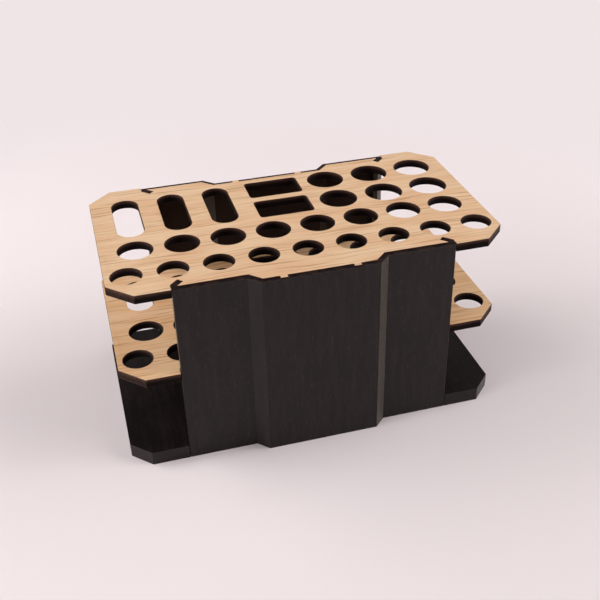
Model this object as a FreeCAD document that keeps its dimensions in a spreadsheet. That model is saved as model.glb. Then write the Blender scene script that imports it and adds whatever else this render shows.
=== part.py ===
"""Hobby workstation organizer, in millimetres.

Three flat boards are stacked with gaps between them: a base, a middle shelf and a top. The two
upper boards are pierced by the same layout of holes, so that a tool or a bottle stands upright in
both. A stepped panel closes the front and another one the back. Each panel ends in two hooks that
slide in channels of the boards, and it carries the top board on tabs that rest in its notches.
All are cut from fibreboard with a thin decor film on the visible face. The film is a solid of its
own on the base and the panels. On the pierced boards it is part of the board's thickness.

+Z is up, the front faces -Y, and the origin is on the ground under the middle of the boards.
"""
import FreeCAD
import Part
import os
import re
import Sketcher

SIZES = {
    # the boards
    "board_width": 245.0,
    "board_depth": 137.0,
    "overall_height": 125.5,
    "middle_face_height": 66.3,
    "upper_board": 5.5,
    "base_core": 9.5,
    "base_film": 0.3,
    "upper_corner_cut": 14.7,
    "base_corner_cut": 12.2,
    # the panels
    "panel_core": 3.2,
    "panel_film": 0.3,
    "panel_span": 172.8,
    "panel_step": 7.0,
    "centre_width": 72.0,
    "fold_angle": 45.0,
    "dock_clearance": 0.5,
    "rim_drop": 0.7,
    # the hooks at the panels' ends and their channels in the boards
    "hook_return": 5.4,
    "hook_lip": 6.4,
    "channel_clearance": 0.25,
    "tip_clearance": 0.5,
    # the tabs of the top board and their notches in the panels
    "tab_width": 4.6,
    "tab_length": 2.4,
    "tab_spacing": 44.6,
    "notch_clearance": 0.2,
    # round holes in rows
    "side_margin": 21.8,
    "small_hole_width": 19.0,
    "small_hole_count": 9,
    "small_side_margin": 13.0,
    "small_row_setback": 22.8,
    "medium_hole_width": 22.0,
    "medium_hole_count": 8,
    "medium_row_setback": 51.7,
    # the block behind the rows: slots, boxes and large holes
    "block_setback": 95.2,
    "large_hole_width": 24.8,
    "large_hole_count": 3,
    "large_hole_pitch": 31.7,
    "large_row_pitch": 30.4,
    "large_setback": 95.7,
    "slot_width": 17.5,
    "slot_margin": 22.3,
    "slot_pitch": 30.2,
    "slot_count": 3,
    "top_slot_length": 51.5,
    "middle_slot_length": 37.4,
    "box_width": 36.3,
    "box_depth": 22.8,
    "box_pitch": 29.0,
    "box_count": 2,
    "box_corner_radius": 2.6,
}

START, END, CENTRE = 1, 2, 3          # how a sketch numbers a line's or an arc's points
MIRRORED = -1                         # the left half's sign
UP = FreeCAD.Vector(0, 0, 1)
QUARTER_TURN = FreeCAD.Rotation(UP, 90)

# Formulas that several pieces share. sized() makes them expressions.
HALF_WIDTH = "board_width / 2"
HALF_DEPTH = "board_depth / 2"
PANEL = "(panel_film + panel_core)"
MOUTH = "(panel_span / 2 + channel_clearance)"
BLOCK = f"(block_setback - {HALF_DEPTH})"
PANEL_HEIGHT = "(overall_height - rim_drop)"
BEND = "tan(fold_angle / 2)"

# The centre of both panels is stepped towards the front, so the front panel of one organizer
# docks in the back panel of another one.
FRONT = {"side": -1, "centre_edge": "centre_width / 2"}
BACK = {"side": 1, "centre_edge": "(centre_width / 2 + dock_clearance)"}


def sized(formula):
    """A formula in which each word with an underscore is a cell of the sheet."""
    return re.sub(r"\b([a-z]+(?:_[a-z]+)+)\b", r"sizes.\1", formula)


def value_of(formula):
    return float(doc.getObject("sizes").evalExpression(sized(formula)))


def make_sheet():
    sheet = doc.addObject("Spreadsheet::Sheet", "sizes")
    for row, (alias, value) in enumerate(SIZES.items(), start=1):
        sheet.set(f"A{row}", alias)
        sheet.set(f"B{row}", str(value))
        sheet.setAlias(f"B{row}", alias)
    doc.recompute()


# ---- sketches ------------------------------------------------------------------------------

def origin_part(body, role):
    return next(part for part in body.Origin.OriginFeatures if part.Role == role)


def new_body(label, height="0"):
    """A body whose underside lies at a height."""
    body = doc.addObject("PartDesign::Body", label)
    body.Label = label
    body.setExpression("Placement.Base.z", sized(height))
    return body


def new_sketch(body, name, height="0"):
    sketch = body.newObject("Sketcher::SketchObject", name)
    sketch.AttachmentSupport = (origin_part(body, "XY_Plane"), [""])
    sketch.MapMode = "FlatFace"
    sketch.setExpression("AttachmentOffset.Base.z", sized(height))
    return sketch


def constrain(sketch, formula, kind, *where):
    """One dimension of a sketch, bound to its formula."""
    index = sketch.addConstraint(Sketcher.Constraint(kind, *where, value_of(formula)))
    sketch.setExpression(f"Constraints[{index}]", sized(formula))


def pin(sketch, geometry, point, place):
    constrain(sketch, place[0], "DistanceX", geometry, point)
    constrain(sketch, place[1], "DistanceY", geometry, point)


def spot(place):
    return FreeCAD.Vector(value_of(place[0]), value_of(place[1]), 0)


def draw_polygon(sketch, places):
    """A closed outline of straight lines, each corner pinned."""
    spots = [spot(place) for place in places]
    lines = [sketch.addGeometry(Part.LineSegment(here, there))
             for here, there in zip(spots, spots[1:] + spots[:1])]
    for line, following, place in zip(lines, lines[1:] + lines[:1], places):
        sketch.addConstraint(Sketcher.Constraint("Coincident", line, END, following, START))
        pin(sketch, line, START, place)


def draw_circle(sketch, place, diameter):
    circle = Part.Circle(spot(place), UP, value_of(diameter) / 2)
    geometry = sketch.addGeometry(circle)
    pin(sketch, geometry, CENTRE, place)
    constrain(sketch, diameter, "Diameter", geometry)


def draw_rounded(sketch, places, radius):
    """An outline that runs round circles of one radius, whose centres go counter-clockwise."""
    spots = [spot(place) for place in places]
    reach = value_of(radius)
    outward = [QUARTER_TURN.inverted().multVec(there - here).normalize()
               for here, there in zip(spots, spots[1:] + spots[:1])]
    arcs = []
    for centre, before, after in zip(spots, outward[-1:] + outward[:-1], outward):
        half_way = before + after if len(places) > 2 else QUARTER_TURN.multVec(before)
        middle = half_way.normalize()
        arc = Part.Arc(centre + before * reach, centre + middle * reach, centre + after * reach)
        arcs.append(sketch.addGeometry(arc))
    lines = [sketch.addGeometry(Part.LineSegment(here + away * reach, there + away * reach))
             for here, there, away in zip(spots, spots[1:] + spots[:1], outward)]
    for arc, following, line in zip(arcs, arcs[1:] + arcs[:1], lines):
        sketch.addConstraint(Sketcher.Constraint("Tangent", arc, END, line, START))
        sketch.addConstraint(Sketcher.Constraint("Tangent", line, END, following, START))
    for arc, place in zip(arcs, places):
        pin(sketch, arc, CENTRE, place)
    for arc in arcs[1:]:
        sketch.addConstraint(Sketcher.Constraint("Equal", arcs[0], arc))
    constrain(sketch, radius, "Radius", arcs[0])


# ---- features ------------------------------------------------------------------------------

def add_pad(body, name, sketch, thickness):
    pad = body.newObject("PartDesign::Pad", name)
    pad.Profile = (sketch, [""])
    pad.setExpression("Length", sized(thickness))
    return pad


def add_pocket(body, name, sketch, depth=None):
    """A cut down from the sketch by a depth, or up from it through everything."""
    pocket = body.newObject("PartDesign::Pocket", name)
    pocket.Profile = (sketch, [""])
    if depth:
        pocket.setExpression("Length", sized(depth))
    else:
        pocket.Type = "ThroughAll"
        pocket.Reversed = True
    return pocket


def add_mirror(body, name, features):
    """The same features on the left."""
    mirror = body.newObject("PartDesign::Mirrored", name)
    mirror.MirrorPlane = (origin_part(body, "YZ_Plane"), [""])
    mirror.Originals = features
    body.Tip = mirror


def add_row(body, name, feature, axis, pitch, count):
    """A pattern along an axis of the body."""
    row = body.newObject("PartDesign::LinearPattern", name)
    row.Originals = [feature]
    row.Direction = (origin_part(body, axis), [""])
    row.Mode = "Spacing"
    row.setExpression("Offset", sized(pitch))
    row.setExpression("Occurrences", sized(count))
    body.Tip = row


# ---- the panels' profile, seen from above --------------------------------------------------

def panel_line(face, inset):
    """The right half of the line that lies an inset behind a panel's outer face.

    It runs from the corner of the stepped centre to the tip of the hook.
    """
    side = face["side"]
    wing = f"{side} * ({HALF_DEPTH} - {inset})"
    centre_x = f"{face['centre_edge']} + {side} * {BEND} * {inset}"
    end_x = f"panel_span / 2 - {inset}"
    lip_root = f"{HALF_DEPTH} - hook_return"
    return [
        (centre_x, f"{wing} - panel_step"),
        (f"{centre_x} + panel_step / tan(fold_angle)", wing),
        (end_x, wing),
        (end_x, f"{side} * ({lip_root} + {BEND} * {inset})"),
        lip_end(face, inset, "hook_lip"),
    ]


def lip_end(face, inset, lip):
    """The point at the end of a lip of the given length."""
    along = f"{HALF_DEPTH} - hook_return + {inset} * sin(fold_angle) - {lip} * cos(fold_angle)"
    across = f"panel_span / 2 - {inset} * cos(fold_angle) - {lip} * sin(fold_angle)"
    return across, f"{face['side']} * ({along})"


def mirrored(places):
    return [(f"{MIRRORED} * ({x})", y) for x, y in places]


def closed_profile(face, outer_inset, inner_inset):
    """The strip between two insets, from one hook to the other."""
    outer = panel_line(face, outer_inset)
    inner = panel_line(face, inner_inset)
    return outer + inner[::-1] + mirrored(inner) + mirrored(outer)[::-1]


# ---- the boards ----------------------------------------------------------------------------

def board_quarter(face, corner_cut):
    """A board's outline from its centre to its side: round the panel's seat and the corner."""
    side = face["side"]
    centre, wing = panel_line(face, PANEL)[:2]
    edge = f"{side} * {HALF_DEPTH}"
    return [
        centre,
        wing,
        (MOUTH, wing[1]),
        (MOUTH, edge),
        (f"{HALF_WIDTH} - {corner_cut}", edge),
        (HALF_WIDTH, f"{side} * ({HALF_DEPTH} - {corner_cut})"),
    ]


def board_outline(corner_cut):
    front = board_quarter(FRONT, corner_cut)
    back = board_quarter(BACK, corner_cut)
    right = front + back[::-1]
    return right + mirrored(right)[::-1]


def channel_outline(face):
    """The channel that a hook slides in, open at the board's edge and clear of the hook."""
    side = face["side"]
    outer = "(-channel_clearance)"
    inner = f"({PANEL} + channel_clearance)"
    edge = f"{side} * {HALF_DEPTH}"
    inner_x = f"panel_span / 2 - {inner}"
    root = f"{HALF_DEPTH} - hook_return"
    lip = "(hook_lip + tip_clearance)"
    return [
        (MOUTH, edge),
        (MOUTH, f"{side} * ({root} + {BEND} * {outer})"),
        lip_end(face, outer, lip),
        lip_end(face, inner, lip),
        (inner_x, f"{side} * ({root} + {BEND} * {inner})"),
        (inner_x, edge),
    ]


def tab_outline(face):
    """One tab of the top board, rooted in the board as deep as it is long."""
    side = face["side"]
    root = panel_line(face, f"({PANEL} + tab_length)")[0][1]
    tip = panel_line(face, f"({PANEL} - tab_length)")[0][1]
    near = "(tab_spacing - tab_width) / 2"
    far = "(tab_spacing + tab_width) / 2"
    return [(near, root), (far, root), (far, tip), (near, tip)][::-side]


def cut_channels(body, extra=()):
    sketch = new_sketch(body, f"{body.Label}_channel_plan")
    for face in (FRONT, BACK):
        draw_polygon(sketch, channel_outline(face))
    channels = add_pocket(body, f"{body.Label}_channels", sketch)
    add_mirror(body, f"{body.Label}_left_side", [*extra, channels])


def row_pitch(margin, count):
    """The pitch of a row that ends at a margin from both sides of the board."""
    return f"(board_width - 2 * {margin}) / ({count} - 1)"


def cut_round_holes(body, size, places, pitch):
    """Holes of one size: those of the first column, and their row to the right."""
    name = f"{body.Label}_{size}_hole"
    sketch = new_sketch(body, f"{name}_plan")
    for place in places:
        draw_circle(sketch, place, f"{size}_hole_width")
    hole = add_pocket(body, name, sketch)
    add_row(body, f"{name}s", hole, "X_Axis", pitch, f"{size}_hole_count")


def cut_rows(body):
    """The two rows at the front, each from one side of the board to the other."""
    for size, margin in (("small", "small_side_margin"), ("medium", "side_margin")):
        first = (f"{margin} - {HALF_WIDTH}", f"{size}_row_setback - {HALF_DEPTH}")
        cut_round_holes(body, size, [first], row_pitch(margin, f"{size}_hole_count"))


def cut_slots(body, length):
    x = f"slot_margin - {HALF_WIDTH}"
    reach = f"({length} - slot_width) / 2"
    sketch = new_sketch(body, f"{body.Label}_slot_plan")
    draw_rounded(sketch, [(x, f"{BLOCK} - {reach}"), (x, f"{BLOCK} + {reach}")],
                 "slot_width / 2")
    slot = add_pocket(body, f"{body.Label}_slot", sketch)
    add_row(body, f"{body.Label}_slots", slot, "X_Axis", "slot_pitch", "slot_count")


def cut_boxes(body):
    first = f"{BLOCK} - (box_count - 1) * box_pitch / 2"
    x = "(box_width / 2 - box_corner_radius)"
    y = "(box_depth / 2 - box_corner_radius)"
    corners = [(f"{sx} * {x}", f"{first} + {sy} * {y}")
               for sx, sy in ((-1, -1), (1, -1), (1, 1), (-1, 1))]
    sketch = new_sketch(body, f"{body.Label}_box_plan")
    draw_rounded(sketch, corners, "box_corner_radius")
    box = add_pocket(body, f"{body.Label}_box", sketch)
    add_row(body, f"{body.Label}_boxes", box, "Y_Axis", "box_pitch", "box_count")


def cut_large_holes(body):
    x = f"{HALF_WIDTH} - side_margin - (large_hole_count - 1) * large_hole_pitch"
    y = f"large_setback - {HALF_DEPTH}"
    places = [(x, f"{y} {sign} large_row_pitch / 2") for sign in "-+"]
    cut_round_holes(body, "large", places, "large_hole_pitch")


def make_layer(label, height, thickness, corner_cut):
    """A layer with the outline of a board, from a height upwards."""
    body = new_body(label, height)
    plan = new_sketch(body, f"{label}_plan")
    draw_polygon(plan, board_outline(corner_cut))
    add_pad(body, f"{label}_blank", plan, thickness)
    return body


def make_base():
    """The thick board, which has no holes, and the decor film on its upper face."""
    layers = [
        make_layer("base_board", "0", "base_core", "base_corner_cut"),
        make_layer("base_decor_film", "base_core", "base_film", "base_corner_cut"),
    ]
    for layer in layers:
        cut_channels(layer)
    return layers


def add_tabs(board):
    sketch = new_sketch(board, f"{board.Label}_tab_plan")
    for face in (FRONT, BACK):
        draw_polygon(sketch, tab_outline(face))
    return add_pad(board, f"{board.Label}_tabs", sketch, "upper_board")


def make_pierced_board(label, face_height, slot_length, tabs=False):
    board = make_layer(label, f"{face_height} - upper_board", "upper_board", "upper_corner_cut")
    cut_channels(board, [add_tabs(board)] if tabs else [])
    cut_rows(board)
    cut_slots(board, slot_length)
    cut_boxes(board)
    cut_large_holes(board)
    return board


# ---- the panels ----------------------------------------------------------------------------

def cut_notches(body, face):
    """Blind notches in the panel's top edge, open to the inside. The tabs rest on their floor."""
    inner = panel_line(face, PANEL)[0][1]
    bottom = panel_line(face, f"({PANEL} - tab_length - notch_clearance)")[0][1]
    near = "(tab_spacing - tab_width) / 2 - notch_clearance"
    far = "(tab_spacing + tab_width) / 2 + notch_clearance"
    sketch = new_sketch(body, f"{body.Label}_notch_plan", PANEL_HEIGHT)
    draw_polygon(sketch, [(near, inner), (far, inner), (far, bottom), (near, bottom)])
    notch = add_pocket(body, f"{body.Label}_notch", sketch, "upper_board - rim_drop")
    add_mirror(body, f"{body.Label}_notches", [notch])


def make_panel(name, face):
    """A stepped, hooked core and the decor film on its outer face."""
    core = new_body(f"{name}_panel")
    plan = new_sketch(core, f"{name}_panel_plan")
    draw_polygon(plan, closed_profile(face, "panel_film", PANEL))
    add_pad(core, f"{name}_panel_blank", plan, PANEL_HEIGHT)
    cut_notches(core, face)

    film = new_body(f"{name}_panel_film")
    film_plan = new_sketch(film, f"{name}_film_plan")
    draw_polygon(film_plan, closed_profile(face, "0", "panel_film"))
    add_pad(film, f"{name}_film_strip", film_plan, PANEL_HEIGHT)
    return [core, film]


# ---- checks and files ----------------------------------------------------------------------

def check(nodes):
    for item in doc.Objects:
        if "Invalid" in item.State or "Error" in item.State:
            raise RuntimeError(f"{item.Label} failed: {item.State}")
        before = getattr(item, "BaseFeature", None)
        if before and before.Shape.Volume == item.Shape.Volume:
            raise RuntimeError(f"{item.Label} changes nothing")
    for node in nodes:
        if node.Shape.isNull() or not node.Shape.isValid() or len(node.Shape.Solids) != 1:
            raise RuntimeError(f"{node.Label} is not one valid solid")


def write(nodes):
    os.makedirs("parts", exist_ok=True)
    for node in nodes:
        node.Shape.exportStep(f"parts/{node.Label}.step")
        box = node.Shape.BoundBox
        print(f"{node.Label:22s} {node.Shape.Volume:10.1f} mm3"
              f"  {box.XLength:.2f} x {box.YLength:.2f} x {box.ZLength:.2f}")


doc = FreeCAD.newDocument("organizer")
make_sheet()
organizer = [
    *make_base(),
    make_pierced_board("middle_board", "middle_face_height", "middle_slot_length"),
    make_pierced_board("top_board", "overall_height", "top_slot_length", tabs=True),
    *make_panel("front", FRONT),
    *make_panel("back", BACK),
]
doc.recompute()
check(organizer)
write(organizer)
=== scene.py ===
import math

import bmesh
import bpy
from mathutils import Matrix, Vector


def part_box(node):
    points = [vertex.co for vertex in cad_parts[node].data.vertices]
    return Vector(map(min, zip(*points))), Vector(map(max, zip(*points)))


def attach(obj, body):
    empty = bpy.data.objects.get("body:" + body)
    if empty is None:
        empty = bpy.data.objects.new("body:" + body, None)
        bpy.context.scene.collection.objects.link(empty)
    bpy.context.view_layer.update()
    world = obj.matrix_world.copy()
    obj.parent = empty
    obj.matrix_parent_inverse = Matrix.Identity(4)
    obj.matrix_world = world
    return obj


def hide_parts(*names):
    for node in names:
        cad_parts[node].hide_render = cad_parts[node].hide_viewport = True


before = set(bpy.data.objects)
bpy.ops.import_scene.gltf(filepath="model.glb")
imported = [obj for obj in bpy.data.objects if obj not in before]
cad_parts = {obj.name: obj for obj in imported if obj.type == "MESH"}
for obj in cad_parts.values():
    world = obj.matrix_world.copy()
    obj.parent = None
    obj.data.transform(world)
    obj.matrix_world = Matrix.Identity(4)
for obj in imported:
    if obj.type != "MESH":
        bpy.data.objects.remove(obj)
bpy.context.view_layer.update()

# ---- The top board and the shelf below it ----------------------------------------------------
# Two sheets of fibreboard with a light wood decor film pressed on the upper face. A laser cuts
# each outline and its holes in one go and burns the cut walls dark brown. The top board rests on
# the panels with two tabs at the front and two at the back, and the shelf is glued between them.

MM = 0.001

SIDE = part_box("top_board")[1][0]  # half the boards' width
FRONT_EDGE = -68.5 * MM
CORNER_CUT = 14.7 * MM
ARRIS, ARRIS_STEPS = 0.25 * MM, 2                 # a cut edge's round, and its facets
EASED_FROM = math.radians(35)     # a fold's facets turn by less than this, and stay as they are

SMALL_HOLE, MEDIUM_HOLE, LARGE_HOLE = 19 * MM, 22 * MM, 24.8 * MM
SMALL_COUNT, MEDIUM_COUNT, LARGE_COUNT = 9, 8, 3
LARGE_STEP, LARGE_ROW_STEP = 31.7 * MM, 30.4 * MM
SLOT_WIDTH, SLOT_STEP, SLOT_COUNT = 17.5 * MM, 30.2 * MM, 3
TOP_SLOT, SHELF_SLOT = 51.5 * MM, 37.4 * MM
BOX_WIDTH, BOX_DEPTH, BOX_CORNER = 36.3 * MM, 22.8 * MM, 2.6 * MM
BOX_STEP, BOX_COUNT = 29 * MM, 2
SMALL_MARGIN, MARGIN, SLOT_MARGIN = 13 * MM, 21.8 * MM, 22.3 * MM   # from a side to an axis
SMALL_ROW, MEDIUM_ROW = FRONT_EDGE + 22.8 * MM, FRONT_EDGE + 51.7 * MM
BLOCK, LARGE_BLOCK = FRONT_EDGE + 95.2 * MM, FRONT_EDGE + 95.7 * MM   # middle of each block
ARC_STEPS = 16                    # segments in a quarter of a round hole
SAME_POINT, WELD, TOUCHING = 0.001 * MM, 0.005 * MM, 0.01 * MM     # how near is one point

TOP_WOOD = (229, 194, 158), (221, 179, 140), (184, 138, 102)       # light, warm and dark
SHELF_WOOD = (239, 198, 156), (231, 183, 136), (192, 140, 98)
# The size of each mark along X, Y and Z, and the levels of noise between which it fades in.
RINGS, RING_EDGE = (55 * MM, 1.5 * MM, 1.0), (0.505, 0.635)
BOLD_RINGS, BOLD_EDGE = (45 * MM, 7 * MM, 1.0), (0.38, 0.62)
PORES, PORE_EDGE = (14 * MM, 0.4 * MM, 1.0), (0.48, 0.72)
TONES, TONE_EDGE = (60 * MM, 12 * MM, 1.0), (0.35, 0.65)
SMOOTH, ROUGH = 2.0, 4.0          # octaves of noise
BOW, BOW_SWING = (90 * MM, 40 * MM, 1.0), 14 * MM         # the slow wander of the grain
SHELF_GRAIN_SHIFT = 0.71          # so that the shelf isn't cut from the same bit of grain
RING_STRENGTH, FAINTEST_RING, PORE_STRENGTH = 0.8, 0.35, 0.22
PORE_DEPTH, PORE_RELIEF, RING_DULLNESS = 0.05 * MM, 0.15, 0.08

# The first colour is soot on the panels' rims, and painted shade low down a cut wall.
SOOT_AND_SHADE, SCORCHED, BARE_FIBRE = (18, 12, 11), (86, 60, 52), (126, 94, 78)
KERF_LINES, BURN_PATCHES = (0.45 * MM, 0.45 * MM, 9 * MM), (14 * MM, 14 * MM, 5 * MM)
SHADE_DEPTHS, SHADE_WAVER = (-1 * MM, 3 * MM), 2 * MM            # depths over which a cut wall darkens from burnt brown in painted shade, and how far that line wavers
KERF_DEPTH, KERF_RELIEF, KERF_CONTRAST = 0.05 * MM, 0.6, 0.6
RAW_FIBRE, CHAMFER_FLECK_EDGE, DARK_TUFTS = (1.2 * MM, 1.2 * MM, 1.2 * MM), (0.35, 0.6), (0.3, 0.7)
CHAMFER_EDGE = -0.5 * MM, -0.2 * MM                       # distances past a front chamfer
LOWER_ARRIS = 0.2 * MM, 0.6 * MM                          # heights above the underside
CHAMFER_FLECKS, ARRIS_FLECKS = 0.14, 0.4      # flecks in the bare fibre's colour on a front chamfer, and more along its lower edge
FACING_UP, FACING_DOWN = (0.9, 0.99), (0.45, 0.65)        # how much of the normal is upright

SATIN_SHEEN, BURNT_SHEEN = 1.22, 1.12                     # refractive indices
SATIN, CHARRED = 0.45, 0.55                               # roughness


class Signal:
    """A socket of a node tree. Its operators add Math nodes, and node() adds any other node."""

    def __init__(self, tree, socket=None):
        self.tree = tree
        self.socket = socket

    def node(self, kind, settings=None, inputs=None, output=0):
        node = self.tree.nodes.new(kind)
        for name, value in (settings or {}).items():
            setattr(node, name, value)
        for name, value in (inputs or {}).items():
            socket = pick(node.inputs, name)
            for source in value if isinstance(value, list) else [value]:
                if isinstance(source, Signal):
                    self.tree.links.new(source.socket, socket)
                else:
                    socket.default_value = source
        return Signal(self.tree, pick(node.outputs, output))

    def math(self, operation, *values):
        return self.node("ShaderNodeMath", {"operation": operation}, dict(enumerate(values)))

    def __add__(self, other):
        return self.math("ADD", self, other)

    def __sub__(self, other):
        return self.math("SUBTRACT", self, other)

    def __rsub__(self, other):
        return self.math("SUBTRACT", other, self)

    def __mul__(self, other):
        return self.math("MULTIPLY", self, other)

    def __abs__(self):
        return self.math("ABSOLUTE", self)

    __radd__ = __add__
    __rmul__ = __mul__


def pick(sockets, name):
    """A socket in use, by its name or its place in the list."""
    in_use = [socket for socket in sockets if socket.enabled]
    if isinstance(name, int):
        return in_use[name] if in_use else None
    return next(socket for socket in in_use if socket.name == name)


def paint(colour):
    """A colour given as 0 to 255 on screen, as the shaders take it."""
    return (*[c / 255 / 12.92 if c < 11 else ((c / 255 + 0.055) / 1.055) ** 2.4
              for c in colour], 1)


def new_material(name):
    """An empty material, and a Signal to build its nodes from."""
    material = bpy.data.materials.new(name)
    material.use_nodes = True
    material.node_tree.nodes.clear()
    return material, Signal(material.node_tree)


def mix(factor, first, second):
    """Two colours, each a Signal or a tuple of 0 to 255, mixed by a factor."""
    colours = [value if isinstance(value, Signal) else paint(value) for value in (first, second)]
    return factor.node("ShaderNodeMix", {"data_type": "RGBA"},
                       {"Factor": factor, "A": colours[0], "B": colours[1]})


def step_between(value, low, high):
    """0 where a value is under the low bound, 1 over the high one, with a soft step between."""
    return value.node("ShaderNodeMapRange", {"interpolation_type": "SMOOTHSTEP"},
                      {"Value": value, "From Min": low, "From Max": high})


def streaks(place, across, detail=3.0, roughness=0.55):
    """Noise whose grains are the given sizes along X, Y and Z, in metres."""
    stretched = place.node("ShaderNodeMapping", {},
                           {"Vector": place, "Scale": tuple(1 / size for size in across)})
    return place.node("ShaderNodeTexNoise", {},
                      {"Vector": stretched, "Scale": 1.0, "Detail": detail,
                       "Roughness": roughness}, "Fac")


def axes_of(vector):
    """The three numbers of a vector."""
    return [vector.node("ShaderNodeSeparateXYZ", {}, {"Vector": vector}, axis) for axis in "XYZ"]


def bump(height, distance, strength):
    """A normal that leans as if the height, from 0 to 1, stood out by the distance."""
    return height.node("ShaderNodeBump", {},
                       {"Height": height, "Distance": distance, "Strength": strength})


def shader(start, **sockets):
    """A Principled shader, with each socket named with an underscore for its space."""
    inputs = {name.replace("_", " "): value for name, value in sockets.items()}
    return start.node("ShaderNodeBsdfPrincipled", {}, inputs)


def finish(surface):
    """Gives a material its surface."""
    surface.node("ShaderNodeOutputMaterial", {}, {"Surface": surface})


def two_finishes(factor, first, second):
    """One finish where the factor is 0, another where it is 1."""
    finish(factor.node("ShaderNodeMixShader", {}, {0: factor, 1: first, 2: second}))


def burnt_edge(place, depth):
    """A wall that a laser has cut: burnt brown with upright lines, darkening below in painted
    shade.
    """
    kerf = streaks(place, KERF_LINES)
    patches = streaks(place, BURN_PATCHES, SMOOTH)
    # Painted shade: the wall darkens from brown towards the first colour with depth below its
    # top.
    brown = 1 - step_between(depth + (0.5 - patches) * SHADE_WAVER, *SHADE_DEPTHS)
    shade = 1 - KERF_CONTRAST / 2 + kerf * KERF_CONTRAST
    return mix(brown * shade, SOOT_AND_SHADE, SCORCHED), kerf


def wood_grain(place, wood, shift):
    """Light wood with fine dark rings that wander slowly. Gives its colour, rings and pores."""
    x, y = axes_of(place)[:2]
    bow = streaks(place, BOW, SMOOTH) - 0.5
    warped = place.node("ShaderNodeCombineXYZ", {},
                        {"X": x + shift, "Y": y + bow * BOW_SWING, "Z": 0.0})
    bold = step_between(streaks(warped, BOLD_RINGS, SMOOTH), *BOLD_EDGE)
    rings = (step_between(streaks(warped, RINGS, roughness=0.5), *RING_EDGE)
             * (FAINTEST_RING + bold * (1 - FAINTEST_RING)))
    pores = streaks(warped, PORES, roughness=0.6)
    light, warm, dark = wood
    tone = mix(step_between(streaks(warped, TONES, SMOOTH), *TONE_EDGE), light, warm)
    darker = rings * RING_STRENGTH + step_between(pores, *PORE_EDGE) * PORE_STRENGTH
    return mix(darker, tone, dark), rings, pores


def decor_board_material(name, wood, bottom, top, grain_shift):
    """Light wood decor on top, burnt walls that darken with depth in painted shade and have paler
    flecks on the front chamfers, bare fibreboard below.
    """
    material, start = new_material(name)
    place = start.node("ShaderNodeTexCoord", {}, {}, "Object")
    x, y, z = axes_of(place)
    upwards = axes_of(start.node("ShaderNodeTexCoord", {}, {}, "Normal"))[2]

    decor, rings, pores = wood_grain(place, wood, grain_shift)
    film = shader(start, Base_Color=decor, Roughness=SATIN + rings * RING_DULLNESS,
                  IOR=SATIN_SHEEN, Normal=bump(pores, PORE_DEPTH, PORE_RELIEF))

    burnt, kerf = burnt_edge(place, top - z)
    fibre = streaks(place, RAW_FIBRE, ROUGH, roughness=0.7)
    past_corner = abs(x) - y - (SIDE - FRONT_EDGE - CORNER_CUT)
    on_chamfer = step_between(past_corner, *CHAMFER_EDGE)
    lower_arris = 1 - step_between(z - bottom, *LOWER_ARRIS)
    # Paler flecks on the front chamfers, most along their lower edge.
    chamfer_flecks = on_chamfer * (CHAMFER_FLECKS + lower_arris * ARRIS_FLECKS) * step_between(fibre, *CHAMFER_FLECK_EDGE)
    wall = mix(chamfer_flecks, burnt, BARE_FIBRE)
    below = mix(step_between(fibre, *DARK_TUFTS) * 0.5, BARE_FIBRE, SCORCHED)
    underneath = step_between(0 - upwards, *FACING_DOWN)
    cut = shader(start, Base_Color=mix(underneath, wall, below), Roughness=CHARRED,
                 IOR=BURNT_SHEEN, Normal=bump(kerf, KERF_DEPTH, KERF_RELIEF))

    two_finishes(step_between(upwards, *FACING_UP), cut, film)
    return material


def new_tree(name, inputs):
    """A Geometry Nodes tree with named inputs, and a Signal for each of them."""
    tree = bpy.data.node_groups.new(name, "GeometryNodeTree")
    tree.interface.new_socket("Geometry", in_out="OUTPUT", socket_type="NodeSocketGeometry")
    for label, kind in inputs.items():
        tree.interface.new_socket(label, in_out="INPUT", socket_type=f"NodeSocket{kind}")
    entry = tree.nodes.new("NodeGroupInput")
    return tree, {socket.name: Signal(tree, socket) for socket in entry.outputs if socket.name}


def close_tree(geometry):
    """Gives a tree its result."""
    geometry.node("NodeGroupOutput", {}, {"Geometry": geometry})


def add_nodes(draft, tree, values):
    """A modifier that runs a tree, each input set by its socket's identifier."""
    modifier = draft.modifiers.new(tree.name, "NODES")
    modifier.node_group = tree
    for socket in tree.interface.items_tree:
        if socket.in_out == "INPUT" and socket.name in values:
            modifier[socket.identifier] = values[socket.name]


# A row of holes. A rectangle whose corners are rounded by half its width is a slot or a circle.
hole_row, given = new_tree("hole_row", {
    "Geometry": "Geometry", "Width": "Float", "Length": "Float", "Corner Radius": "Float",
    "Start": "Vector", "Step": "Vector", "Count": "Int", "Arc Steps": "Int"})
geometry = given["Geometry"]
rectangle = geometry.node("GeometryNodeCurvePrimitiveQuadrilateral", {"mode": "RECTANGLE"},
                          {"Width": given["Width"], "Height": given["Length"]})
hole = geometry.node("GeometryNodeFilletCurve", {"mode": "POLY"},
                     {"Curve": rectangle, "Radius": given["Corner Radius"],
                      "Limit Radius": True, "Count": given["Arc Steps"]})
axes = geometry.node("GeometryNodeMeshLine", {"mode": "OFFSET"},
                     {"Count": given["Count"], "Start Location": given["Start"],
                      "Offset": given["Step"]})
holes = geometry.node("GeometryNodeInstanceOnPoints", {}, {"Points": axes, "Instance": hole})
close_tree(geometry.node("GeometryNodeJoinGeometry", {}, {"Geometry": [geometry, holes]}))

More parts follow.
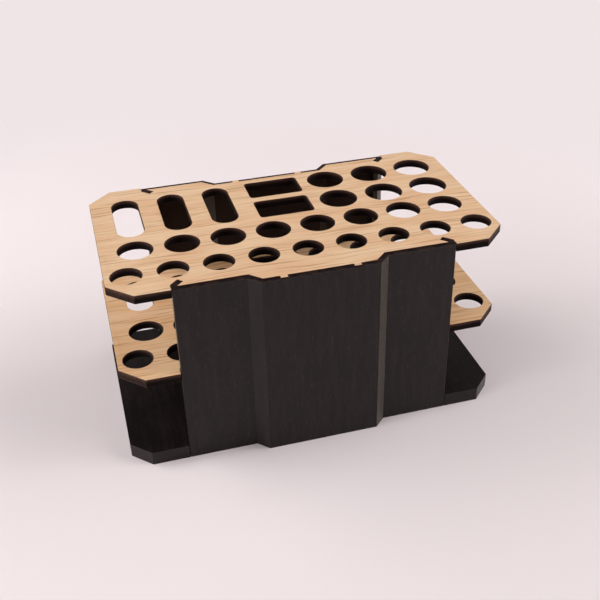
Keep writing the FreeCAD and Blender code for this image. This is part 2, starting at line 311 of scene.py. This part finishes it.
# A sheet cut from a plan: an outline of mesh edges and any closed curves as holes in it.
cut_sheet, given = new_tree("cut_sheet", {
    "Geometry": "Geometry", "Bottom": "Float", "Thickness": "Float", "Material": "Material"})
plan = given["Geometry"].node("GeometryNodeRealizeInstances", {},
                              {"Geometry": given["Geometry"]})
outline = plan.node("GeometryNodeMeshToCurve", {}, {
    "Mesh": plan.node("GeometryNodeSeparateComponents", {}, {"Geometry": plan}, "Mesh")})
holes = plan.node("GeometryNodeSeparateComponents", {}, {"Geometry": plan}, "Curve")
curves = plan.node("GeometryNodeJoinGeometry", {}, {"Geometry": [outline, holes]})
face = plan.node("GeometryNodeFillCurve", {"mode": "TRIANGLES"}, {"Curve": curves})
clean_face = plan.node("GeometryNodeMergeByDistance", {}, {
    "Geometry": face, "Distance": WELD})
raised = plan.node("GeometryNodeExtrudeMesh", {"mode": "FACES"},
                   {"Mesh": clean_face, "Offset Scale": given["Thickness"], "Individual": False})
underside = plan.node("GeometryNodeFlipFaces", {}, {"Mesh": clean_face})
shell = plan.node("GeometryNodeJoinGeometry", {}, {"Geometry": [raised, underside]})
closed = plan.node("GeometryNodeMergeByDistance", {}, {
    "Geometry": shell, "Distance": WELD})
smooth = plan.node("GeometryNodeSetShadeSmooth", {}, {"Geometry": closed, "Shade Smooth": True})
lift = plan.node("ShaderNodeCombineXYZ", {}, {"Z": given["Bottom"]})
lifted = plan.node("GeometryNodeTransform", {}, {"Geometry": smooth, "Translation": lift})
realized = plan.node("GeometryNodeRealizeInstances", {}, {"Geometry": lifted})
close_tree(plan.node("GeometryNodeSetMaterial", {}, {
    "Geometry": realized, "Material": given["Material"]}))


def outline_of(node):
    """The corners of a CAD piece's outer outline at its lowest height, anticlockwise."""
    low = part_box(node)[0]
    shape = bmesh.new()
    shape.from_mesh(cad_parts[node].data)
    bmesh.ops.remove_doubles(shape, verts=shape.verts, dist=SAME_POINT)
    floor = [face for face in shape.faces
             if max(v.co.z for v in face.verts) < low[2] + TOUCHING]
    rim = [edge for face in floor for edge in face.edges
           if sum(other in floor for other in edge.link_faces) == 1]
    corner = min((v for edge in rim for v in edge.verts), key=lambda v: v.co.x)
    loop = [corner]
    while len(loop) < 2 or loop[-1] != corner:
        edge = next(e for e in rim if loop[-1] in e.verts and
                    (len(loop) < 2 or loop[-2] not in e.verts))
        loop.append(edge.other_vert(loop[-1]))
    corners = [v.co.copy() for v in loop[:-1]]
    shape.free()
    area = sum(corners[i - 1].xy.cross(corners[i].xy) for i in range(len(corners)))
    return corners if area > 0 else corners[::-1]


def draft_of(corners):
    """A draft object that holds an outline as mesh edges."""
    mesh = bpy.data.meshes.new("outline")
    mesh.from_pydata(corners, [(i, (i + 1) % len(corners)) for i in range(len(corners))], [])
    draft = bpy.data.objects.new("draft", mesh)
    bpy.context.collection.objects.link(draft)
    return draft


def ease_edges(draft, width):
    """Rounds the draft's sharp edges, but not the facets of its folds and holes."""
    bevel = draft.modifiers.new("eased_edges", "BEVEL")
    bevel.width = width
    bevel.segments = ARRIS_STEPS
    bevel.limit_method = "ANGLE"
    bevel.angle_limit = EASED_FROM
    bevel.harden_normals = True


def finished(draft, name):
    """The draft with its modifiers applied, as a plain mesh in a new object."""
    evaluated = draft.evaluated_get(bpy.context.evaluated_depsgraph_get())
    piece = bpy.data.objects.new(name, bpy.data.meshes.new_from_object(evaluated))
    bpy.context.collection.objects.link(piece)
    bpy.data.objects.remove(draft)
    return piece


def cut_as(node, draft, material):
    """Cuts a draft's plan from a sheet that lies where the CAD piece does."""
    low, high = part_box(node)
    add_nodes(draft, cut_sheet, {
        "Bottom": low[2], "Thickness": high[2] - low[2], "Material": material})


def row_across(margin, y, width, count):
    """A row of round holes from one side of the board to the other."""
    step = 2 * (SIDE - margin) / (count - 1)
    return {"Width": width, "Length": width, "Corner Radius": width / 2, "Count": count,
            "Start": (margin - SIDE, y, 0.0), "Step": (step, 0.0, 0.0)}


def hole_rows(slot_length):
    """The values of every row, with slots of the given length."""
    large = {"Width": LARGE_HOLE, "Length": LARGE_HOLE, "Corner Radius": LARGE_HOLE / 2,
             "Count": LARGE_COUNT, "Step": (LARGE_STEP, 0.0, 0.0)}
    large_start = SIDE - MARGIN - (LARGE_COUNT - 1) * LARGE_STEP
    return [
        row_across(SMALL_MARGIN, SMALL_ROW, SMALL_HOLE, SMALL_COUNT),
        row_across(MARGIN, MEDIUM_ROW, MEDIUM_HOLE, MEDIUM_COUNT),
        {"Width": SLOT_WIDTH, "Length": slot_length, "Corner Radius": SLOT_WIDTH / 2,
         "Count": SLOT_COUNT, "Start": (SLOT_MARGIN - SIDE, BLOCK, 0.0),
         "Step": (SLOT_STEP, 0.0, 0.0)},
        {"Width": BOX_WIDTH, "Length": BOX_DEPTH, "Corner Radius": BOX_CORNER,
         "Count": BOX_COUNT, "Start": (0.0, BLOCK - BOX_STEP / 2, 0.0),
         "Step": (0.0, BOX_STEP, 0.0)},
        {**large, "Start": (large_start, LARGE_BLOCK - LARGE_ROW_STEP / 2, 0.0)},
        {**large, "Start": (large_start, LARGE_BLOCK + LARGE_ROW_STEP / 2, 0.0)},
    ]


for name, node, slot_length, wood, grain_shift in (
        ("perforated_top_board", "top_board", TOP_SLOT, TOP_WOOD, 0.0),
        ("perforated_shelf", "middle_board", SHELF_SLOT, SHELF_WOOD, SHELF_GRAIN_SHIFT)):
    draft = draft_of(outline_of(node))
    for row in hole_rows(slot_length):
        add_nodes(draft, hole_row, {**row, "Arc Steps": ARC_STEPS})
    bottom, top = (corner[2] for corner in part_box(node))
    cut_as(node, draft,
           decor_board_material(f"{name}_finish", wood, bottom, top, grain_shift))
    ease_edges(draft, ARRIS)
    board = finished(draft, name)
    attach(board, "root")
    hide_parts(node)

# ---- The base --------------------------------------------------------------------------------
# One thick sheet of fibreboard without holes, stained black at its edges, under a black decor
# film with a fine wood grain that runs from front to back. It is glued between the panels' feet.

FILM_ARRIS = 0.08 * MM
# The third colour is a painted glint: the pale specks that faces turned askew show.
BASE_BLACK, BLACK_STREAK, PAINTED_GLINT = (20, 16, 15), (62, 48, 43), (84, 77, 67)
BASE_GRAIN, BASE_STREAKS, BASE_SHEEN = (0.5 * MM, 5 * MM, 0.5 * MM), 0.5, 1.12
STREAK_EDGE, PRESSED, FILM_RELIEF = (0.56, 0.74), 0.04 * MM, 0.5
BROADER, TONE_SHIFT, TONE_STRENGTH = 6, (0.4, 0.7), 0.12  # the film's tones, over its grain
GLINT_SPECKS, GLINT_SPECK_EDGE = (0.9 * MM, 0.9 * MM, 0.9 * MM), (0.42, 0.58)
GLINT_FACING = 0.25, 0.45                # the product of a normal's X and Y, 0.5 at 45 degrees
SILKY, STAINED = 0.3, 0.25        # roughness of the black film and the stained edge
STREAK_DULLNESS, GLINT_DULLNESS, STAIN_DULLNESS = 0.12, 0.1, 0.1
STAIN, STAIN_PALE, STAIN_EDGE = (18, 11, 10), (36, 26, 24), (0.35, 0.7)
STAIN_LINES, STAIN_CLOUDS = (0.5 * MM, 0.5 * MM, 12 * MM), (9 * MM, 9 * MM, 4 * MM)
STAIN_SHEEN = 1.35


def black_decor_material(name, ground, grain, streak_strength, sheen):
    """Black film with a wood grain pressed in, and a painted glint of pale specks on faces turned
    askew.

    The grain's size is given along X, Y and Z.
    """
    material, start = new_material(name)
    place = start.node("ShaderNodeTexCoord", {}, {}, "Object")
    fine = streaks(place, grain, ROUGH, roughness=0.65)
    broad = streaks(place, tuple(size * BROADER for size in grain), SMOOTH)
    streak = step_between(fine, *STREAK_EDGE) * streak_strength
    tone = step_between(broad, *TONE_SHIFT) * TONE_STRENGTH
    grained = mix(streak + tone, ground, BLACK_STREAK)

    across, along = axes_of(start.node("ShaderNodeTexCoord", {}, {}, "Normal"))[:2]
    # A painted glint: pale specks on faces whose normal has X and Y of opposite signs, such as
    # the front panel's right flank.
    facing_glint = step_between(0 - across * along, *GLINT_FACING)
    glint_specks = step_between(streaks(place, GLINT_SPECKS, roughness=0.7), *GLINT_SPECK_EDGE)
    stretched = facing_glint * glint_specks
    roughness = SILKY + streak * STREAK_DULLNESS + stretched * GLINT_DULLNESS
    finish(shader(start, Base_Color=mix(stretched, grained, PAINTED_GLINT), IOR=sheen,
                  Roughness=roughness, Normal=bump(fine, PRESSED, FILM_RELIEF)))
    return material


def stained_edge_material(name):
    """Fibreboard whose laser-cut edge is stained black."""
    material, start = new_material(name)
    place = start.node("ShaderNodeTexCoord", {}, {}, "Object")
    kerf = streaks(place, STAIN_LINES)
    cloud = streaks(place, STAIN_CLOUDS)
    colour = mix(step_between(kerf * 0.5 + cloud * 0.5, *STAIN_EDGE), STAIN, STAIN_PALE)
    finish(shader(start, Base_Color=colour, Roughness=STAINED + cloud * STAIN_DULLNESS,
                  IOR=STAIN_SHEEN, Normal=bump(kerf, KERF_DEPTH, FILM_RELIEF)))
    return material


base_grain = black_decor_material("base_grain", BASE_BLACK, BASE_GRAIN, BASE_STREAKS,
                                  BASE_SHEEN)
for name, node, slot, material in (
        ("base_sheet", "base_board", "board_core", stained_edge_material("stained_edge")),
        ("base_film", "base_decor_film", "black_decor", base_grain)):
    draft = draft_of(outline_of(node))
    cut_as(node, draft, material)
    ease_edges(draft, FILM_ARRIS)
    sheet = finished(draft, name)
    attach(sheet, "root")
    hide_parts(node)

# ---- The front and back panels ---------------------------------------------------------------
# Each is one sheet of thin fibreboard, scored and folded into a stepped wall with a hook at each
# end, under a black film that wraps round the folds. The hooks slide down channels in the boards.
# Two notches in the top edge of each one take the top board's tabs.

FOLD_OUTSIDE, FOLD_INSIDE = 0.35 * MM, 0.3 * MM            # radii of the film at a fold
FOLD_STEPS, SHORTEST_FOLD = 5, 1 * MM
NOTCH_FLOOR, NOTCH_COUNT = 120 * MM, 2
NOTCH_CUT = 6 * MM                # how far the cutter reaches above and inside a notch
PANEL_BLACK, PANEL_INSIDE = (20, 11, 12), (48, 37, 32)
PANEL_GRAIN, PANEL_STREAKS, PANEL_SHEEN = (0.6 * MM, 0.6 * MM, 6 * MM), 0.7, 1.34
INNER_ROUGHNESS, INNER_STREAK_EDGE, INNER_STREAKS, INNER_GLINT = 0.5, (0.5, 0.8), 0.4, 0.7
RIM_PATCHES, RIM_EDGE, RIM_BROWN = (5 * MM, 5 * MM, 5 * MM), (0.4, 0.6), 0.18
ON_RIM = 0.4, 0.6                 # how much of the normal is upright

# Rounds the corners of an outline by the radius that each of them carries.
rounded_folds, given = new_tree("rounded_folds", {"Geometry": "Geometry", "Arc Steps": "Int"})
line = given["Geometry"].node("GeometryNodeMeshToCurve", {}, {"Mesh": given["Geometry"]})
radius = line.node("GeometryNodeInputNamedAttribute", {"data_type": "FLOAT"},
                   {"Name": "fold_radius"}, "Attribute")
close_tree(line.node("GeometryNodeFilletCurve", {"mode": "POLY"},
                     {"Curve": line, "Radius": radius, "Count": given["Arc Steps"]}))

# Cuts equal boxes at equal steps out of a piece.
notches, given = new_tree("notches", {
    "Geometry": "Geometry", "Size": "Vector", "Start": "Vector", "Step": "Vector",
    "Count": "Int", "Material": "Material"})
geometry = given["Geometry"]
cutter = geometry.node("GeometryNodeMeshCube", {}, {"Size": given["Size"]}, "Mesh")
centres = geometry.node("GeometryNodeMeshLine", {"mode": "OFFSET"},
                        {"Count": given["Count"], "Start Location": given["Start"],
                         "Offset": given["Step"]})
cutters = geometry.node("GeometryNodeInstanceOnPoints", {},
                        {"Points": centres, "Instance": cutter})
cutters = geometry.node("GeometryNodeRealizeInstances", {}, {"Geometry": cutters})
notched = geometry.node("GeometryNodeMeshBoolean", {"operation": "DIFFERENCE"},
                        {"Mesh 1": geometry, "Mesh 2": cutters}, "Mesh")
whole = geometry.node("GeometryNodeRealizeInstances", {}, {"Geometry": notched})
close_tree(geometry.node("GeometryNodeSetMaterial", {}, {
    "Geometry": whole, "Material": given["Material"]}))


def folds_of(film):
    """The corners where a film folds. Its two ends have an edge as short as it is thin."""
    return [corner for i, corner in enumerate(film)
            if min((corner - film[i - 1]).length,
                   (film[(i + 1) % len(film)] - corner).length) > SHORTEST_FOLD]


def folded_draft(corners, folds, radius_left, radius_right):
    """A draft whose corners are rounded at the folds, by one radius for each way of turning."""
    draft = draft_of(corners)
    radii = []
    for i, corner in enumerate(corners):
        turn = (corner - corners[i - 1]).xy.cross((corners[(i + 1) % len(corners)] - corner).xy)
        folded = any((corner - fold).length < TOUCHING for fold in folds)
        radii.append(folded * (radius_left if turn > 0 else radius_right))
    attribute = draft.data.attributes.new("fold_radius", "FLOAT", "POINT")
    attribute.data.foreach_set("value", radii)
    add_nodes(draft, rounded_folds, {"Arc Steps": FOLD_STEPS})
    return draft


def cut_notches(node, draft, material):
    """Cuts the notches that take the top board's tabs, where the CAD core has them."""
    floor = [v.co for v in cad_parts[node].data.vertices
             if abs(v.co.z - NOTCH_FLOOR) < TOUCHING and v.co.x > 0]
    low_x, high_x = min(v.x for v in floor), max(v.x for v in floor)
    outer, inner = sorted((v.y for v in floor), key=abs, reverse=True)[::len(floor) - 1]
    inner -= math.copysign(NOTCH_CUT, outer)
    centre = (low_x + high_x) / 2
    add_nodes(draft, notches, {
        "Size": (high_x - low_x, abs(outer - inner), NOTCH_CUT * 2),
        "Start": (-centre, (outer + inner) / 2, NOTCH_FLOOR + NOTCH_CUT),
        "Step": (centre * 2, 0.0, 0.0), "Count": NOTCH_COUNT, "Material": material})


def panel_core_material(name):
    """Burnt on the rims that the laser cut, black inside, with a painted glint that makes the
    inside paler where it is turned askew.
    """
    material, start = new_material(name)
    place = start.node("ShaderNodeTexCoord", {}, {}, "Object")
    across, along, upwards = axes_of(start.node("ShaderNodeTexCoord", {}, {}, "Normal"))
    fine = streaks(place, PANEL_GRAIN, ROUGH, roughness=0.65)
    streak = step_between(fine, *INNER_STREAK_EDGE) * INNER_STREAKS
    # A painted glint: the inside turns paler on faces whose normal has X and Y of the same sign.
    facing_glint = step_between(across * along, *GLINT_FACING)
    inner = mix(facing_glint * INNER_GLINT, mix(streak, PANEL_INSIDE, BLACK_STREAK), PAINTED_GLINT)
    charred = step_between(streaks(place, RIM_PATCHES, SMOOTH), *RIM_EDGE)
    rim = mix(charred * RIM_BROWN, SOOT_AND_SHADE, SCORCHED)
    finish(shader(start, Base_Color=mix(step_between(upwards, *ON_RIM), inner, rim),
                  Roughness=INNER_ROUGHNESS, IOR=BURNT_SHEEN,
                  Normal=bump(fine, PRESSED, FILM_RELIEF)))
    return material


for node in ("front_panel", "back_panel"):
    film = outline_of(f"{node}_film")
    folds = folds_of(film)
    core_finish = panel_core_material(f"{node}_core_finish")
    film_finish = black_decor_material(f"{node}_film_finish", PANEL_BLACK, PANEL_GRAIN,
                                       PANEL_STREAKS, PANEL_SHEEN)
    core = folded_draft(outline_of(node), folds, FOLD_INSIDE, FOLD_OUTSIDE)
    cut_as(node, core, core_finish)
    cut_notches(node, core, core_finish)
    skin = folded_draft(film, folds, FOLD_OUTSIDE, FOLD_INSIDE)
    cut_as(f"{node}_film", skin, film_finish)
    for draft, name, source, slot in ((core, f"{node}_core", node, "panel_core"),
                                      (skin, f"{node}_skin", f"{node}_film", "black_decor")):
        ease_edges(draft, FILM_ARRIS)
        piece = finished(draft, name)
        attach(piece, "root")
        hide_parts(source)

# ---- Floor, light and camera -----------------------------------------------------------------
# A pale sweep of paper: it lies flat under the stand and curves up behind it. The light comes
# from soft boxes at both sides alone, so the front panel shows little but the paper it reflects.

SWEEP_FRONT, SWEEP_START, SWEEP_RADIUS, SWEEP_HALF = -4.0, 0.35, 0.8, 2.5
SWEEP_TURNS = range(3, 61, 3)     # degrees
PAPER, BACKDROP = (236, 224, 225), (240, 229, 230)
MATT, PAPER_SHEEN = 0.9, 1.3      # roughness and refractive index of the paper
NEAR, FAR = 0.34, 0.56            # the paper turns into the backdrop this far from the stand

profile = [(SWEEP_FRONT, 0.0), (SWEEP_START, 0.0)]
profile += [(SWEEP_START + SWEEP_RADIUS * math.sin(math.radians(turn)),
             SWEEP_RADIUS * (1 - math.cos(math.radians(turn)))) for turn in SWEEP_TURNS]
mesh = bpy.data.meshes.new("paper_sweep")
mesh.from_pydata([(x, y, z) for y, z in profile for x in (-SWEEP_HALF, SWEEP_HALF)], [],
                 [(2 * i, 2 * i + 1, 2 * i + 3, 2 * i + 2) for i in range(len(profile) - 1)])
mesh.polygons.foreach_set("use_smooth", [True] * len(mesh.polygons))
sweep = bpy.data.objects.new("paper_sweep", mesh)
bpy.context.collection.objects.link(sweep)


def seen_directly(start):
    """1 for what the camera sees, also in a mirror or through glass, and 0 for what is lit."""
    rays = [start.node("ShaderNodeLightPath", {}, {}, f"Is {kind} Ray")
            for kind in ("Camera", "Glossy", "Transmission")]
    return rays[0] + rays[1] + rays[2]


material, start = new_material("paper")
place = start.node("ShaderNodeTexCoord", {}, {}, "Object")
away = step_between(place.node("ShaderNodeVectorMath", {"operation": "LENGTH"}, {0: place},
                               "Value"), NEAR, FAR)
two_finishes(away * seen_directly(start),
             shader(start, Base_Color=paint(PAPER), Roughness=MATT, IOR=PAPER_SHEEN),
             start.node("ShaderNodeEmission", {}, {"Color": paint(BACKDROP)}))
mesh.materials.append(material)

LAMP_AIM = Vector((0.0, 0.0, 0.06))
for name, place, width, height, power in (
        ("left_front_box", (-1.4, -0.7, 0.9), 1.0, 1.0, 6.4),
        ("left_box", (-1.5, 0.1, 0.9), 1.2, 1.0, 8.2),
        ("left_back_box", (-1.3, 0.8, 1.0), 1.2, 1.0, 17.1),
        ("left_low_box", (-1.5, -0.2, 0.4), 1.0, 0.6, 9.9),
        ("right_front_box", (1.4, -0.7, 0.9), 1.0, 1.0, 12.8),
        ("right_middle_box", (1.5, -0.25, 0.9), 1.0, 1.0, 7.1),
        ("right_box", (1.5, 0.1, 0.9), 1.2, 1.0, 10.8)):
    light = bpy.data.lights.new(name, "AREA")
    light.shape = "RECTANGLE"
    light.size, light.size_y, light.energy = width, height, power
    lamp = bpy.data.objects.new(name, light)
    lamp.location = place
    lamp.rotation_mode = "QUATERNION"
    lamp.rotation_quaternion = (LAMP_AIM - Vector(place)).to_track_quat("-Z", "Y")
    bpy.context.collection.objects.link(lamp)

ROOM_GLOW = 0.02                  # how much light the room itself gives
world = bpy.data.worlds.new("room")
world.use_nodes = True
world.node_tree.nodes.clear()
start = Signal(world.node_tree)
room = start.node("ShaderNodeBackground", {}, {
    "Color": paint(BACKDROP),
    "Strength": ROOM_GLOW + seen_directly(start) * (1 - ROOM_GLOW)})
start.node("ShaderNodeOutputWorld", {}, {"Surface": room})
bpy.context.scene.world = world

CAMERA_PLACE = Vector((-128.3, -506.9, 396.9)) * MM
CAMERA_AIM = Vector((4.40, -6.13, 62.75)) * MM
CAMERA_ROLL = math.radians(1.482)
LENS, SENSOR = 54.73, 36.0

camera = bpy.data.objects.new("camera", bpy.data.cameras.new("camera"))
camera.data.lens, camera.data.sensor_width = LENS, SENSOR
turned = (CAMERA_AIM - CAMERA_PLACE).to_track_quat("-Z", "Y").to_matrix().to_4x4()
camera.matrix_world = (Matrix.Translation(CAMERA_PLACE) @ turned
                       @ Matrix.Rotation(-CAMERA_ROLL, 4, "Z"))
bpy.context.collection.objects.link(camera)
bpy.context.scene.camera = camera
bpy.context.scene.view_settings.view_transform = "Standard"
